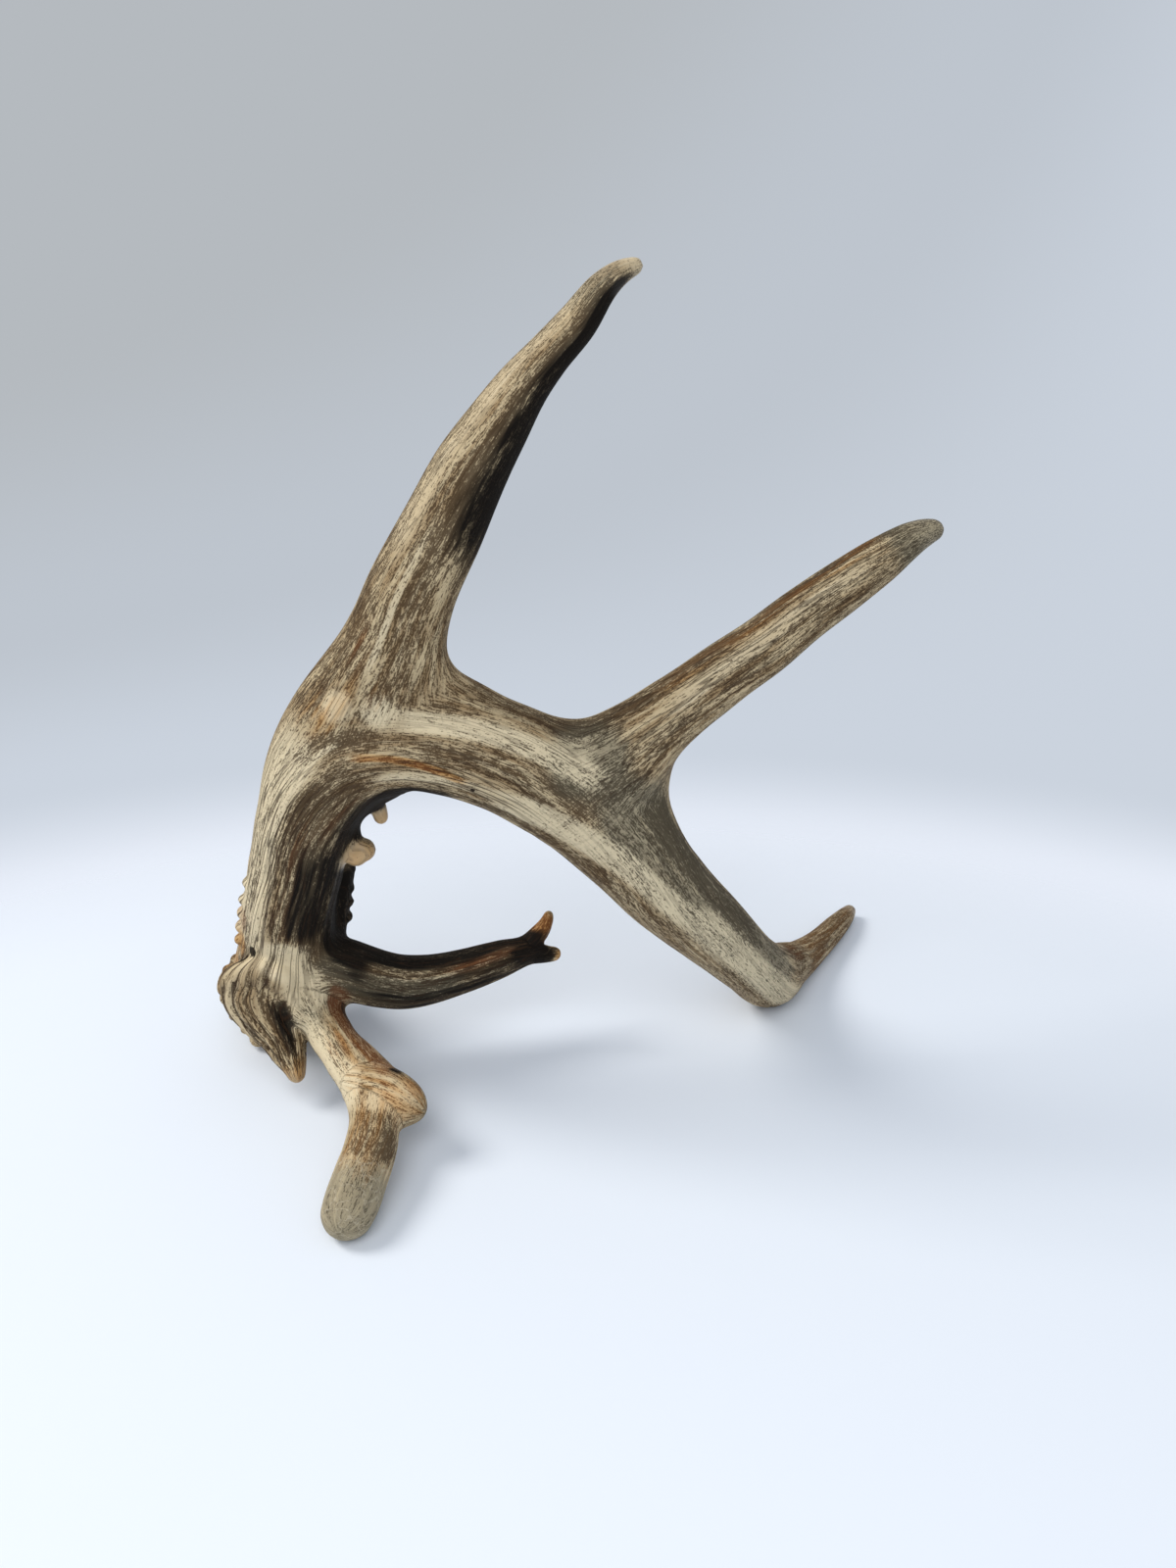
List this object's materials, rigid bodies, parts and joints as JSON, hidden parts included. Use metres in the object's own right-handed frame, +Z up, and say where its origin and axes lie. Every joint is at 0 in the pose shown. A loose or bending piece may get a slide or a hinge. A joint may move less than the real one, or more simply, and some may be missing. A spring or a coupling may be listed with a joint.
{
  "type": "deer antler",
  "caption": "Weathered deer antler with a pearled burr, an arching main beam, two long upper tines and forked brow tines; it lies on a surface as a display piece.",
  "frame": {"origin": "under the middle of the bounding box, on the surface the antler lies on", "axes": "+Z up; +X along the arch from the burr to the beam's tip; +Y away from the front brow tine"},
  "size_m": [0.319, 0.2574, 0.3463],
  "materials": {
    "antler": "weathered, streaked, slightly polished at the tips"
  },
  "bodies": {
    "root": {"beam_base": "antler", "beam_arch": "antler", "beam_end": "antler", "second_tine": "antler", "third_tine": "antler", "front_brow_tine": "antler", "side_brow_tine": "antler", "kicker_tine": "antler"}
  },
  "joints": []
}
